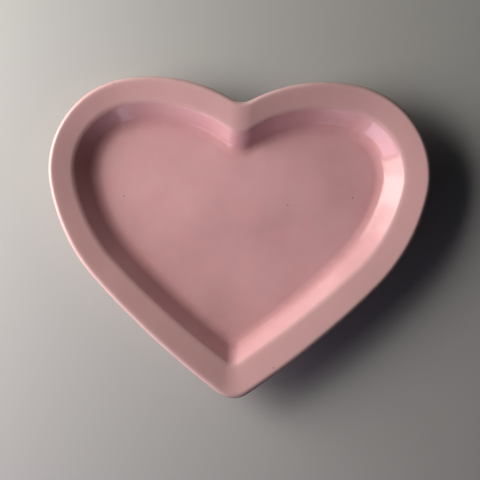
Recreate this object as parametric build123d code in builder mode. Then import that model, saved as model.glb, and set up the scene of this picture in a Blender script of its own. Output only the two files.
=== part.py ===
"""Heart-shaped trinket dish in glazed earthenware, cast and fired as one piece.

Millimetres. +X runs across the two lobes, +Y from the tip to the cleft, +Z up.
The origin is on the table, under the middle of the dish.
"""
from build123d import *
from math import asin, cos, degrees, radians, sin
import os

# --- Outline of the lip, right half, from the cleft round to the tip -------------------
cleft_angle = 33.0        # direction in which the outline leaves the cleft, degrees above +X
crown_radius = 62.85      # gentle rise from the cleft over the top of the lobe
crown_sweep = 43.5        # degrees
lobe_radius = 36.0        # round end of the lobe
lobe_sweep = 90.0
shoulder_radius = 74.0    # where the lobe eases into the flank
shoulder_sweep = 33.0
flank_radius = 350.0      # almost straight run down to the tip
lip_cleft_round = 8.0     # corner radii of the lip, seen from above
lip_tip_round = 10.0
crease_turn = 1.6         # the crease's flanks turn this much further in, so the rim broadens to the tip
floor_turn = 0.2          # and the floor's this much, so the well's wall narrows to the tip
floor_easing = 6.0        # the floor's crowns are this much wider, so the wall is steeper at the cleft

# --- Heights above the table -----------------------------------------------------------
height = 16.5             # top of the lip, before its edge is rounded
foot_height = 2.5         # how far the foot ring lifts the dish
floor_thickness = 3.8

# --- Rim, well and outer wall, all following the outline -------------------------------
rim_width = 9.7           # from the lip in to the crease at the top of the well
rim_rise = 2.7            # the rim climbs this much from the crease out to the lip
rim_thickness = 3.8       # at the crease
lip_thickness = 3.4       # depth of the rim's outer edge
well_draft = 7.5          # how far the well's wall leans in from crease to floor
wall_thickness = 4.8      # measured level
inner_cleft_round = 8.0   # corner radii of the well and the wall, seen from above
inner_tip_round = 4.0
lip_round = 1.6           # softened edges, as a thick glaze leaves them
crease_round = 5.0
floor_round = 6.2         # broad curve between the well's wall and floor
root_round = 3.0          # under the rim, where the outer wall begins
heel_round = 5.0          # outer wall into the underside

# --- Foot ring -------------------------------------------------------------------------
foot_inset = 19.0         # from the lip in to the outside of the ring
foot_width = 4.0
foot_edge_round = 0.5

# --- Heights and insets that follow ----------------------------------------------------
floor_height = foot_height + floor_thickness
crease_height = height - rim_rise
well_lean = well_draft / (crease_height - floor_height)
lip_underside = height - lip_thickness
root_height = crease_height - rim_thickness
root_inset = rim_width + well_lean * rim_thickness - wall_thickness
heel_inset = root_inset + well_lean * (root_height - foot_height)


def heart(level, inset, easing, extra_turn, cleft_round, tip_round, cleft_y):
    """The lip's outline drawn in by inset, at a height; cleft_y is the lip's sharp cleft.

    The crown and lobe keep their centres as the outline is drawn in, so the crown meets
    the middle line lower and more steeply. The easing widens the crown from where it
    joins the lobe, and the extra turn swings the flanks inwards.
    """
    joint_angle = radians(90 + cleft_angle - crown_sweep)
    crown_centre_x = crown_radius * sin(radians(cleft_angle)) - easing * cos(joint_angle)
    crown_centre_y = cleft_y - crown_radius * cos(radians(cleft_angle)) - easing * sin(joint_angle)
    inner_radius = crown_radius - inset + easing
    inner_angle = degrees(asin(crown_centre_x / inner_radius))
    start = (0, crown_centre_y + inner_radius * cos(radians(inner_angle)))
    leaving = Vector(1, 0).rotate(Axis.Z, inner_angle)
    sweep = crown_sweep + inner_angle - cleft_angle
    with BuildSketch(Plane.XY.offset(level)) as outline:
        with BuildLine():
            crown = JernArc(start, leaving, inner_radius, -sweep)
            lobe = JernArc(crown @ 1, crown % 1, lobe_radius - inset, -lobe_sweep - extra_turn)
            shoulder = JernArc(lobe @ 1, lobe % 1, shoulder_radius - inset, -shoulder_sweep)
            JernArc(shoulder @ 1, shoulder % 1, flank_radius - inset, Axis.Y)
            mirror(about=Plane.YZ)
        make_face()
        fillet(outline.vertices().filter_by(on_middle_line).sort_by(Axis.Y)[-1], cleft_round)
        fillet(outline.vertices().filter_by(on_middle_line).sort_by(Axis.Y)[0], tip_round)
    return outline.sketch


def on_middle_line(vertex):
    return abs(vertex.X) < 0.001


rounded_lip = heart(0, 0, 0, 0, lip_cleft_round, lip_tip_round, 0)
cleft_y = -rounded_lip.bounding_box().center().Y      # brings the middle of the dish to Y = 0


def lip_section(level):
    return heart(level, 0, 0, 0, lip_cleft_round, lip_tip_round, cleft_y)


def crease_section(level, inset):
    return heart(level, inset, 0, crease_turn, inner_cleft_round, inner_tip_round, cleft_y)


def floor_section(level, inset):
    return heart(level, inset, floor_easing, floor_turn, inner_cleft_round, inner_tip_round, cleft_y)


def edges_at(part, level):
    """The level edges of a part at one height."""
    return part.edges().filter_by_position(Axis.Z, level - 0.01, level + 0.01)


with BuildPart() as dish:
    # Outer wall, underside of the rim, and the rim's outer edge
    root = crease_section(root_height, root_inset)
    loft([floor_section(foot_height, heel_inset), root], ruled=True)
    loft([root, lip_section(lip_underside)], ruled=True)
    extrude(lip_section(lip_underside), lip_thickness, dir=(0, 0, 1))
    fillet(edges_at(dish, root_height), root_round)
    fillet(edges_at(dish, foot_height), heel_round)
    fillet(edges_at(dish, lip_underside), lip_round)

    # Sloping rim, and the well inside its crease
    crease = crease_section(crease_height, rim_width)
    loft([crease, lip_section(height)], ruled=True, mode=Mode.SUBTRACT)
    floor = floor_section(floor_height, rim_width + well_draft)
    loft([floor, crease], ruled=True, mode=Mode.SUBTRACT)
    fillet(edges_at(dish, floor_height), floor_round)
    fillet(edges_at(dish, crease_height), crease_round)
    fillet(edges_at(dish, height), lip_round)

    # Foot ring, open in the middle, with the dish's floor as its ceiling
    extrude(floor_section(0, foot_inset), foot_height, dir=(0, 0, 1))
    hollow = floor_section(0, foot_inset + foot_width)
    extrude(hollow, foot_height, dir=(0, 0, 1), mode=Mode.SUBTRACT)
    fillet(edges_at(dish, 0), foot_edge_round)

os.makedirs("parts", exist_ok=True)
dish.part.label = "dish"
export_step(dish.part, "parts/dish.step")
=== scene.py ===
"""Looks of the heart-shaped trinket dish: its glazed body, the floor it stands on, light and camera.

Metres, in the part's frame: +X across the lobes, +Y from tip to cleft, +Z up.
"""
import math

import bpy
import numpy as np
from mathutils import Matrix, Vector, noise


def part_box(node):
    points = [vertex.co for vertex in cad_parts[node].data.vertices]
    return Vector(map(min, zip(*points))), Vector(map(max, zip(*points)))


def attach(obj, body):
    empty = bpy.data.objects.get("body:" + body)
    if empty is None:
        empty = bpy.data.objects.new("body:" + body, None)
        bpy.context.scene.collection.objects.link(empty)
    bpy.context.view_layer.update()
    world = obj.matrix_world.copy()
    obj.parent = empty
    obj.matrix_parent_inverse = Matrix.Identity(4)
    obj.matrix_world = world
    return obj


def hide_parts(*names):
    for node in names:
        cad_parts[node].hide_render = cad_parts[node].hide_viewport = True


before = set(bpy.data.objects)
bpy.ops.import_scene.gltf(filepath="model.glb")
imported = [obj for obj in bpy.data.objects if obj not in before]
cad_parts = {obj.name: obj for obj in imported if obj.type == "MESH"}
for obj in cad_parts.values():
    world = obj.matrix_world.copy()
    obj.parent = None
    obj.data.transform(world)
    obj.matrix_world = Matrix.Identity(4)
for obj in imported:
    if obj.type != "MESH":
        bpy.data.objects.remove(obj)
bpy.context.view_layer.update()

MM = 0.001
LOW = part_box("dish")[0]

# --- Outline of the lip, millimetres: the part's arcs, right half, from the cleft to the tip ----
CLEFT_ANGLE = math.radians(33.0)
CROWN_RADIUS, CROWN_SWEEP = 62.85, math.radians(43.5)
LOBE_RADIUS, LOBE_SWEEP = 36.0, math.radians(90.0)
SHOULDER_RADIUS, SHOULDER_SWEEP = 74.0, math.radians(33.0)
FLANK_RADIUS = 350.0
CREASE_TURN = math.radians(1.6)   # the crease's flanks turn in this much more than the lip's
FLOOR_TURN = math.radians(0.2)    # and the floor's this much
FLOOR_EASING = 6.0                # the floor's crowns are this much wider: a steeper wall at the cleft
WELL_SHIFT = -0.5                 # the well sits a little to the left of the lip
CLEFT_ROUND = 8.0                 # corner radii, seen from above
LIP_TIP_ROUND, WELL_TIP_ROUND = 10.0, 4.0
STATIONS = {"cleft": 8, "crown": 30, "lobe": 46, "shoulder": 22, "flank": 44, "tip": 10}

# --- Cross-section, millimetres: inset from the lip, height above the table ---------------------
TOP = 16.5
FOOT = 2.5
FLOOR = 6.3
RIM_WIDTH, RIM_RISE = 9.7, 2.7
WALL_LEAN = 7.5
CREASE = TOP - RIM_RISE
LIP_THICKNESS = 3.4
RIM_THICKNESS = 3.8
WALL_THICKNESS = 4.8              # measured level
FOOT_INSET, FOOT_WIDTH = 19.0, 4.0
FOOT_DRAFT = 0.3                  # each side of the foot ring leans in this much
SWEEP_END = 24.0                  # inset at which the floor and the recess are closed over
FLOOR_ROUND, CREASE_ROUND = 7.2, 5.0
LIP_ROUND, LIP_UNDER_ROUND = 1.5, 1.4
ROOT_ROUND, HEEL_ROUND = 3.0, 4.0
FOOT_ROOT_ROUND, FOOT_EDGE_ROUND, RECESS_ROUND = 0.6, 0.5, 0.8
LONGEST_RUN = 1.2                 # straight runs are divided until none is longer
HUB, HUB_RINGS = (0.0, 4.0), 22   # where the floor and the recess close, and in how many rings

# --- Unevenness of the skin, fading out towards the foot ----------------------------------------
UNEVENNESS = 0.12 * MM
BROAD_SWAY, FINE_SWAY, FINE_SWAY_SHARE = 60, 160, 0.25
SWAY_START, SWAY_FADE = 1 * MM, 2 * MM

# --- Where the glaze runs thin and where it pools, millimetres ----------------------------------
LIP_REACH, CREASE_REACH, POOL_REACH = 1.6, 1.8, 3.2
CREASE_THINNING = 0.15
POOL_RISE = 1.0
RIM_BLEND = 2.0

# --- Glaze and clay, linear colours -------------------------------------------------------------
GLAZE_PALE, GLAZE_DEEP = (0.80, 0.455, 0.48), (0.69, 0.375, 0.40)
GLAZE_PINK, PINK_SHARE = (0.80, 0.40, 0.43), 0.5
GLAZE_THIN, THIN_SHARE = (0.80, 0.66, 0.63), 0.5
GLAZE_POOLED, POOLED_SHARE = (0.66, 0.31, 0.32), 0.55
GLAZE_RIM, RIM_SHARE = (0.66, 0.39, 0.39), 0.8
CLAY_PALE, CLAY_DARK = (0.80, 0.74, 0.66), (0.70, 0.63, 0.54)
GLAZE_IOR, GLAZE_SPECULAR = 1.5, 0.38
GLAZE_ROUGHNESS, CLAY_ROUGHNESS = (0.11, 0.17), 0.85
WIPE_HEIGHTS = (0.7 * MM, 1.5 * MM)   # the wiped edge of the glaze wanders between these
WIPE_BLUR = 0.15 * MM

SPECK_COLOR, SPECK_STRENGTH = (0.16, 0.07, 0.06), 0.75
SPECK_SPACING, SPECK_SIZE = 23 * MM, 0.30 * MM
SPECK_SKIPPED = 0.65              # share of the places that stay clean
SPECK_FACING = 0.5                # specks lie only on skin that faces up at least this much

# --- Textures: features per metre, and detail ---------------------------------------------------
CLOUDS, PATCHES, UNEVEN = (38, 3), (120, 2), (260, 2)
PEEL, CLAY_GRAIN = (420, 2), (1800, 4)
NOISE_RANGE = (0.3, 0.7)          # where most of a noise texture's values lie
RELIEF_DEPTH = 0.02 * MM

# --- Stage, light and camera --------------------------------------------------------------------
STAGE_SIZE = 3.0
STAGE_COLOR = (0.50, 0.50, 0.495)
STAGE_ROUGHNESS, STAGE_SPECULAR = 0.8, 0.1

# Azimuth and elevation in degrees, distance, width and height in metres, watts, colour
LIGHTS = {
    "window": (173, 26, 0.39, 0.30, 0.29, 1.66, (1.0, 0.95, 0.88)),
    "curtain": (157, 26, 0.40, 0.24, 0.25, 0.87, (1.0, 0.97, 0.92)),
    "sky": (223, 15, 0.38, 0.30, 0.065, 0.28, (0.82, 0.68, 1.0)),
    "doorway": (277, 15, 0.40, 0.10, 0.03, 0.03, (0.85, 0.85, 1.0)),
}
ROOM_COLOR, ROOM_STRENGTH = (0.9, 0.92, 1.0), 0.015

LENS, SENSOR_WIDTH = 56.25, 36.0
CAMERA_DISTANCE = 0.2932
CAMERA_TARGET = (0.95, -0.2, TOP)     # millimetres
CAMERA_TURN = math.radians(1.85)      # the tip leans left by this much
CAMERA_LEAN = math.radians(1.0)       # from straight above, towards the cleft


def unit(angle):
    """The unit vector in a direction."""
    return np.array([math.cos(angle), math.sin(angle)])


def angle_of(vector):
    """The direction of a vector."""
    return math.atan2(vector[1], vector[0])


def arc(centre, radius, start, end, count):
    """Points of an arc, without its last one."""
    angles = np.linspace(start, end, count, endpoint=False)
    return centre + radius * np.stack([np.cos(angles), np.sin(angles)], 1)


def between_lip_and_floor(inset, at_lip, at_crease, at_floor):
    """A value that changes evenly from the lip to the crease, and on to the floor."""
    return float(np.interp(inset, [0.0, RIM_WIDTH, RIM_WIDTH + WALL_LEAN], [at_lip, at_crease, at_floor]))


def corner_rounds(inset):
    """Radii of the cleft and the tip, seen from above: open at the lip, tighter in the well."""
    t = min(1.0, inset / RIM_WIDTH)
    return CLEFT_ROUND, LIP_TIP_ROUND + (WELL_TIP_ROUND - LIP_TIP_ROUND) * t


def heart_ring(inset):
    """The outline drawn in by inset, once round, starting at the cleft and going clockwise.

    The lip's sharp cleft, before rounding, is at the origin.
    """
    cleft_round, tip_round = corner_rounds(inset)
    crown = CROWN_RADIUS * np.array([math.sin(CLEFT_ANGLE), -math.cos(CLEFT_ANGLE)])
    turn = math.pi / 2 + CLEFT_ANGLE - CROWN_SWEEP
    lobe = crown + (CROWN_RADIUS - LOBE_RADIUS) * unit(turn)
    turn_2 = turn - LOBE_SWEEP - between_lip_and_floor(inset, 0, CREASE_TURN, FLOOR_TURN)
    shoulder = lobe + (LOBE_RADIUS - SHOULDER_RADIUS) * unit(turn_2)
    turn_3 = turn_2 - SHOULDER_SWEEP
    flank = shoulder + (SHOULDER_RADIUS - FLANK_RADIUS) * unit(turn_3)

    easing = between_lip_and_floor(inset, 0, 0, FLOOR_EASING)
    crown = crown - easing * unit(turn)
    crown_radius = CROWN_RADIUS - inset + easing
    flank_radius = FLANK_RADIUS - inset
    cleft_round_y = crown[1] + math.sqrt((crown_radius + cleft_round) ** 2 - crown[0] ** 2)
    cleft_centre = np.array([0.0, cleft_round_y])
    crown_start = angle_of(cleft_centre - crown)
    tip_round_y = flank[1] - math.sqrt((flank_radius - tip_round) ** 2 - flank[0] ** 2)
    tip_centre = np.array([0.0, tip_round_y])
    flank_end = angle_of(tip_centre - flank)

    right = np.concatenate([
        arc(cleft_centre, cleft_round, -math.pi / 2, angle_of(crown - cleft_centre), STATIONS["cleft"]),
        arc(crown, crown_radius, crown_start, turn, STATIONS["crown"]),
        arc(lobe, LOBE_RADIUS - inset, turn, turn_2, STATIONS["lobe"]),
        arc(shoulder, SHOULDER_RADIUS - inset, turn_2, turn_3, STATIONS["shoulder"]),
        arc(flank, flank_radius, turn_3, flank_end, STATIONS["flank"]),
        arc(tip_centre, tip_round, flank_end, -math.pi / 2, STATIONS["tip"]),
    ])
    bottom = tip_centre - [0.0, tip_round]
    left = (right[1:] * [-1, 1])[::-1]
    shift = between_lip_and_floor(inset, 0, WELL_SHIFT, WELL_SHIFT)
    return np.concatenate([right, [bottom], left]) + [shift, 0.0]


def rounded(points, radii, steps):
    """A polyline with each inner corner replaced by a tangent arc."""
    out = [np.array(points[0], float)]
    for i in range(1, len(points) - 1):
        here = np.array(points[i], float)
        back = np.array(points[i - 1]) - here
        ahead = np.array(points[i + 1]) - here
        back, ahead = back / np.linalg.norm(back), ahead / np.linalg.norm(ahead)
        half = math.acos(np.clip(back @ ahead, -1, 1)) / 2
        reach = radii[i] / math.tan(half)
        middle = back + ahead
        centre = here + middle / np.linalg.norm(middle) * radii[i] / math.sin(half)
        start, end = here + back * reach - centre, here + ahead * reach - centre
        a, b = angle_of(start), angle_of(end)
        b = a + (b - a + math.pi) % (2 * math.pi) - math.pi
        for angle in np.linspace(a, b, steps[i] + 1):
            out.append(centre + radii[i] * unit(angle))
    out.append(np.array(points[-1], float))
    return np.array(out)


def subdivided(points, longest):
    """Extra points on the straight runs that are longer than a given length."""
    out = [points[0]]
    for a, b in zip(points[:-1], points[1:]):
        count = max(1, int(math.ceil(np.linalg.norm(b - a) / longest)))
        for k in range(1, count + 1):
            out.append(a + (b - a) * k / count)
    return np.array(out)


def cross_section():
    """Inset and height of the skin, from the floor up over the lip and down to the recess."""
    root_inset = RIM_WIDTH + WALL_LEAN * RIM_THICKNESS / (CREASE - FLOOR) - WALL_THICKNESS
    root = CREASE - RIM_THICKNESS
    lean = WALL_LEAN / (CREASE - FLOOR)
    heel_inset = root_inset + lean * (root - FOOT)
    foot_end = FOOT_INSET + FOOT_WIDTH
    corners = [   # inset, height, radius, steps round the corner
        (SWEEP_END, FLOOR, 0, 0),
        (RIM_WIDTH + WALL_LEAN, FLOOR, FLOOR_ROUND, 18),
        (RIM_WIDTH, CREASE, CREASE_ROUND, 14),
        (0.0, TOP, LIP_ROUND, 10),
        (0.0, TOP - LIP_THICKNESS, LIP_UNDER_ROUND, 8),
        (root_inset, root, ROOT_ROUND, 8),
        (heel_inset, FOOT, HEEL_ROUND, 8),
        (FOOT_INSET, FOOT, FOOT_ROOT_ROUND, 4),
        (FOOT_INSET + FOOT_DRAFT, 0.0, FOOT_EDGE_ROUND, 5),
        (foot_end - FOOT_DRAFT, 0.0, FOOT_EDGE_ROUND, 5),
        (foot_end, FOOT, RECESS_ROUND, 5),
        (SWEEP_END, FOOT, 0, 0),
    ]
    points = [corner[:2] for corner in corners]
    radii = [corner[2] for corner in corners]
    steps = [corner[3] for corner in corners]
    return subdivided(rounded(points, radii, steps), LONGEST_RUN)


def sway(place):
    """Slow unevenness of the cast body under its glaze, from about -1 to 1."""
    return noise.noise(place * BROAD_SWAY) + FINE_SWAY_SHARE * noise.noise(place * FINE_SWAY)


def near(inset, height, corner_inset, corner_height, reach):
    """1 at a corner of the cross-section, falling to 0 at a few times reach from it."""
    return math.exp(-((inset - corner_inset) ** 2 + (height - corner_height) ** 2) / reach ** 2)


def swept_skin(rings):
    """Vertices and outward faces of a closed skin through the rings, closed over at both ends."""
    around = len(rings[0][0])
    verts = [(x, y, z) for ring, z in rings for x, y in ring]
    faces = []
    for r in range(len(rings) - 1):
        for k in range(around):
            n = (k + 1) % around
            faces.append((r * around + k, r * around + n, (r + 1) * around + n, (r + 1) * around + k))

    def close(ring_index, upward):
        """Fill a ring with narrowing rings and a fan in the middle."""
        ring, z = rings[ring_index]
        hub_place = np.array(HUB)
        first = ring_index * around
        for s in range(1, HUB_RINGS):
            start = len(verts)
            verts.extend((x, y, z) for x, y in hub_place + (ring - hub_place) * (1 - s / HUB_RINGS))
            for k in range(around):
                n = (k + 1) % around
                quad = (first + k, start + k, start + n, first + n)
                faces.append(quad if upward else quad[::-1])
            first = start
        hub = len(verts)
        verts.append((*HUB, z))
        for k in range(around):
            n = (k + 1) % around
            tri = (first + k, hub, first + n)
            faces.append(tri if upward else tri[::-1])

    close(0, True)
    close(len(rings) - 1, False)
    return verts, faces


def glaze_fields(section, around, count):
    """At each vertex: how thin the glaze runs, how much it pools, and how far it lies on the rim."""
    fields = {name: np.zeros(count, np.float32) for name in ("thin", "pooled", "rim")}
    for r, (inset, height) in enumerate(section):
        here = slice(r * around, (r + 1) * around)
        fields["thin"][here] = max(
            near(inset, height, 0, TOP, LIP_REACH),
            near(inset, height, 0, TOP - LIP_THICKNESS, LIP_REACH),
            CREASE_THINNING * near(inset, height, RIM_WIDTH, CREASE, CREASE_REACH),
        )
        fields["pooled"][here] = near(
            inset, height, RIM_WIDTH + WALL_LEAN, FLOOR + POOL_RISE, POOL_REACH)
        fields["rim"][here] = np.clip(0.5 + (RIM_WIDTH - inset) / RIM_BLEND, 0, 1)
    return fields


def make_dish():
    """The glazed body: one closed skin swept round the heart."""
    section = cross_section()
    lip = heart_ring(0)
    middle = np.array([0.0, (lip[:, 1].min() + lip[:, 1].max()) / 2])
    rings = [(heart_ring(inset) - middle, height) for inset, height in section]
    verts, faces = swept_skin(rings)

    mesh = bpy.data.meshes.new("glazed_dish")
    mesh.from_pydata([(x * MM, y * MM, z * MM) for x, y, z in verts], [], faces)
    mesh.shade_smooth()
    normals = [vertex.normal.copy() for vertex in mesh.vertices]
    for vertex, normal in zip(mesh.vertices, normals):
        raised = min(1.0, max(0.0, (vertex.co.z - SWAY_START) / SWAY_FADE))
        vertex.co += normal * (UNEVENNESS * raised * sway(vertex.co))
    for name, values in glaze_fields(section, len(lip), len(verts)).items():
        mesh.attributes.new(name, "FLOAT", "POINT").data.foreach_set("value", values)

    dish = bpy.data.objects.new("glazed_dish", mesh)
    bpy.context.scene.collection.objects.link(dish)
    return dish


def attribute(tree, name):
    """A value stored on the mesh."""
    node = tree.nodes.new("ShaderNodeAttribute")
    node.attribute_name = name
    return node.outputs["Fac"]


def noise_field(tree, place, texture_scale, name):
    """A noise texture; its scale is in features per metre, with a level of detail."""
    texture = tree.nodes.new("ShaderNodeTexNoise")
    texture.name = name
    texture.inputs["Scale"].default_value, texture.inputs["Detail"].default_value = texture_scale
    tree.links.new(place, texture.inputs["Vector"])
    return texture.outputs["Fac"]


def remap(tree, value, low, high, to_low, to_high):
    """A value carried linearly from one range to another, and held at its ends."""
    node = tree.nodes.new("ShaderNodeMapRange")
    for socket, number in zip(("From Min", "From Max", "To Min", "To Max"), (low, high, to_low, to_high)):
        node.inputs[socket].default_value = number
    tree.links.new(value, node.inputs["Value"])
    return node.outputs["Result"]


def combine(tree, operation, a, b):
    """Two values, or a value and a number, brought together by one operation."""
    node = tree.nodes.new("ShaderNodeMath")
    node.operation = operation
    for socket, value in zip(node.inputs, (a, b)):
        if isinstance(value, (int, float)):
            socket.default_value = value
        else:
            tree.links.new(value, socket)
    return node.outputs[0]


def blend_colors(tree, factor, a, b):
    """Colour a where factor is 0 and b where it is 1."""
    node = tree.nodes.new("ShaderNodeMix")
    node.data_type = "RGBA"
    tree.links.new(factor, node.inputs["Factor"])
    for socket, value in ((node.inputs["A"], a), (node.inputs["B"], b)):
        if isinstance(value, tuple):
            socket.default_value = (*value, 1)
        else:
            tree.links.new(value, socket)
    return node.outputs["Result"]


def speck_mask(tree, place):
    """Specks of iron, a few across the dish: strongest in their middles and 0 between them."""
    cells = tree.nodes.new("ShaderNodeTexVoronoi")
    cells.voronoi_dimensions = "2D"
    cells.inputs["Scale"].default_value = 1 / SPECK_SPACING
    tree.links.new(place, cells.inputs["Vector"])
    split = tree.nodes.new("ShaderNodeSeparateColor")
    tree.links.new(cells.outputs["Color"], split.inputs["Color"])
    facing = tree.nodes.new("ShaderNodeSeparateXYZ")
    tree.links.new(tree.nodes.new("ShaderNodeNewGeometry").outputs["Normal"], facing.inputs["Vector"])
    picked = combine(tree, "GREATER_THAN", split.outputs["Red"], SPECK_SKIPPED)
    upward = combine(tree, "GREATER_THAN", facing.outputs["Z"], SPECK_FACING)
    chosen = combine(tree, "MULTIPLY", picked, upward)
    reach = remap(tree, split.outputs["Green"], 0, 1, 0.6 * SPECK_SIZE, 1.3 * SPECK_SIZE)
    reach_in_cells = combine(tree, "DIVIDE", reach, SPECK_SPACING)
    outwards = combine(tree, "DIVIDE", cells.outputs["Distance"], reach_in_cells)
    return combine(tree, "MULTIPLY", remap(tree, outwards, 0.5, 1.1, SPECK_STRENGTH, 0), chosen)


def glaze_material():
    """Pink gloss glaze: softly mottled, paler on edges, deeper where it pools, bare on the foot."""
    material = bpy.data.materials.new("pink_glaze")
    material.use_nodes = True
    tree = material.node_tree
    shader = tree.nodes["Principled BSDF"]
    shader.inputs["IOR"].default_value = GLAZE_IOR
    shader.inputs["Specular IOR Level"].default_value = GLAZE_SPECULAR
    place = tree.nodes.new("ShaderNodeTexCoord").outputs["Object"]

    # Mottling: broad pale and deep clouds, and smaller pinker ones
    clouds = noise_field(tree, place, CLOUDS, "clouds")
    color = blend_colors(tree, remap(tree, clouds, *NOISE_RANGE, 0, 1), GLAZE_DEEP, GLAZE_PALE)
    patches = noise_field(tree, place, PATCHES, "patches")
    color = blend_colors(tree, remap(tree, patches, 0.45, 0.8, 0, PINK_SHARE), color, GLAZE_PINK)

    # The rim is a duller pink than the well
    on_rim = combine(tree, "MULTIPLY", attribute(tree, "rim"), RIM_SHARE)
    color = blend_colors(tree, on_rim, color, GLAZE_RIM)

    # Thickness of the glaze, broken up a little so that no edge is even
    uneven = remap(tree, noise_field(tree, place, UNEVEN, "uneven"), *NOISE_RANGE, 0.6, 1.1)
    thin = combine(tree, "MULTIPLY", attribute(tree, "thin"), uneven)
    pooled = combine(tree, "MULTIPLY", attribute(tree, "pooled"), uneven)
    color = blend_colors(tree, combine(tree, "MULTIPLY", thin, THIN_SHARE), color, GLAZE_THIN)
    color = blend_colors(tree, combine(tree, "MULTIPLY", pooled, POOLED_SHARE), color, GLAZE_POOLED)
    color = blend_colors(tree, speck_mask(tree, place), color, SPECK_COLOR)

    # Fired clay shows where the foot ring was wiped clean
    clay_grain = noise_field(tree, place, CLAY_GRAIN, "clay_grain")
    clay = blend_colors(tree, clay_grain, CLAY_DARK, CLAY_PALE)
    axes = tree.nodes.new("ShaderNodeSeparateXYZ")
    tree.links.new(place, axes.inputs["Vector"])
    wipe_line = remap(tree, clouds, *NOISE_RANGE, *WIPE_HEIGHTS)
    above = combine(tree, "SUBTRACT", axes.outputs["Z"], wipe_line)
    bare = remap(tree, above, -WIPE_BLUR, WIPE_BLUR, 1, 0)
    tree.links.new(blend_colors(tree, bare, color, clay), shader.inputs["Base Color"])

    rough = tree.nodes.new("ShaderNodeMix")
    tree.links.new(bare, rough.inputs["Factor"])
    tree.links.new(remap(tree, patches, *NOISE_RANGE, *GLAZE_ROUGHNESS), rough.inputs["A"])
    rough.inputs["B"].default_value = CLAY_ROUGHNESS
    tree.links.new(rough.outputs["Result"], shader.inputs["Roughness"])

    # Relief: the glaze's slight orange peel, and the grain of the bare clay
    relief = tree.nodes.new("ShaderNodeMix")
    tree.links.new(bare, relief.inputs["Factor"])
    tree.links.new(noise_field(tree, place, PEEL, "peel"), relief.inputs["A"])
    tree.links.new(clay_grain, relief.inputs["B"])
    bump = tree.nodes.new("ShaderNodeBump")
    bump.inputs["Distance"].default_value = RELIEF_DEPTH
    bump.inputs["Strength"].default_value = 1.0
    tree.links.new(relief.outputs["Result"], bump.inputs["Height"])
    tree.links.new(bump.outputs["Normal"], shader.inputs["Normal"])
    return material


def make_floor():
    """A plain, pale, matt floor under the dish."""
    bpy.ops.mesh.primitive_plane_add(size=STAGE_SIZE, location=(0, 0, LOW.z))
    floor = bpy.context.object
    floor.name = "floor"
    material = bpy.data.materials.new("pale_floor")
    material.use_nodes = True
    shader = material.node_tree.nodes["Principled BSDF"]
    shader.inputs["Base Color"].default_value = (*STAGE_COLOR, 1)
    shader.inputs["Roughness"].default_value = STAGE_ROUGHNESS
    shader.inputs["Specular IOR Level"].default_value = STAGE_SPECULAR
    floor.data.materials.append(material)


def soft_light(name, azimuth, elevation, distance, width, height, power, color):
    """A rectangular soft light facing the dish; azimuth 0 is +X, 90 is +Y."""
    data = bpy.data.lights.new(name, "AREA")
    data.shape = "RECTANGLE"
    data.size, data.size_y = width, height
    data.energy = power
    data.color = color
    light = bpy.data.objects.new(name, data)
    a, e = math.radians(azimuth), math.radians(elevation)
    toward = Vector((math.cos(a) * math.cos(e), math.sin(a) * math.cos(e), math.sin(e)))
    light.location = toward * distance
    light.rotation_euler = toward.to_track_quat("Z", "Y").to_euler()
    bpy.context.scene.collection.objects.link(light)


def make_light():
    """The soft lights, and a faint light from the rest of the room."""
    for name, setting in LIGHTS.items():
        soft_light(name, *setting)
    world = bpy.data.worlds.new("room")
    world.use_nodes = True
    background = world.node_tree.nodes["Background"]
    background.inputs["Color"].default_value = (*ROOM_COLOR, 1)
    background.inputs["Strength"].default_value = ROOM_STRENGTH
    bpy.context.scene.world = world


def make_camera():
    """Nearly straight above the dish, turned a little so that the tip leans left."""
    data = bpy.data.cameras.new("camera")
    data.lens = LENS
    data.sensor_width = SENSOR_WIDTH
    data.clip_start, data.clip_end = 0.01, 10
    camera = bpy.data.objects.new("camera", data)
    up = Vector((-math.sin(CAMERA_TURN), math.cos(CAMERA_TURN), 0))
    back = (Vector((0, 0, math.cos(CAMERA_LEAN))) + up * math.sin(CAMERA_LEAN)).normalized()
    right = up.cross(back).normalized()
    camera.location = Vector(CAMERA_TARGET) * MM + back * CAMERA_DISTANCE
    camera.rotation_euler = Matrix((right, back.cross(right), back)).transposed().to_euler()
    bpy.context.scene.collection.objects.link(camera)
    bpy.context.scene.camera = camera


dish = make_dish()
dish.data.materials.append(glaze_material())
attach(dish, "root")
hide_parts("dish")
make_floor()
make_light()
make_camera()
bpy.context.scene.view_settings.view_transform = "Standard"
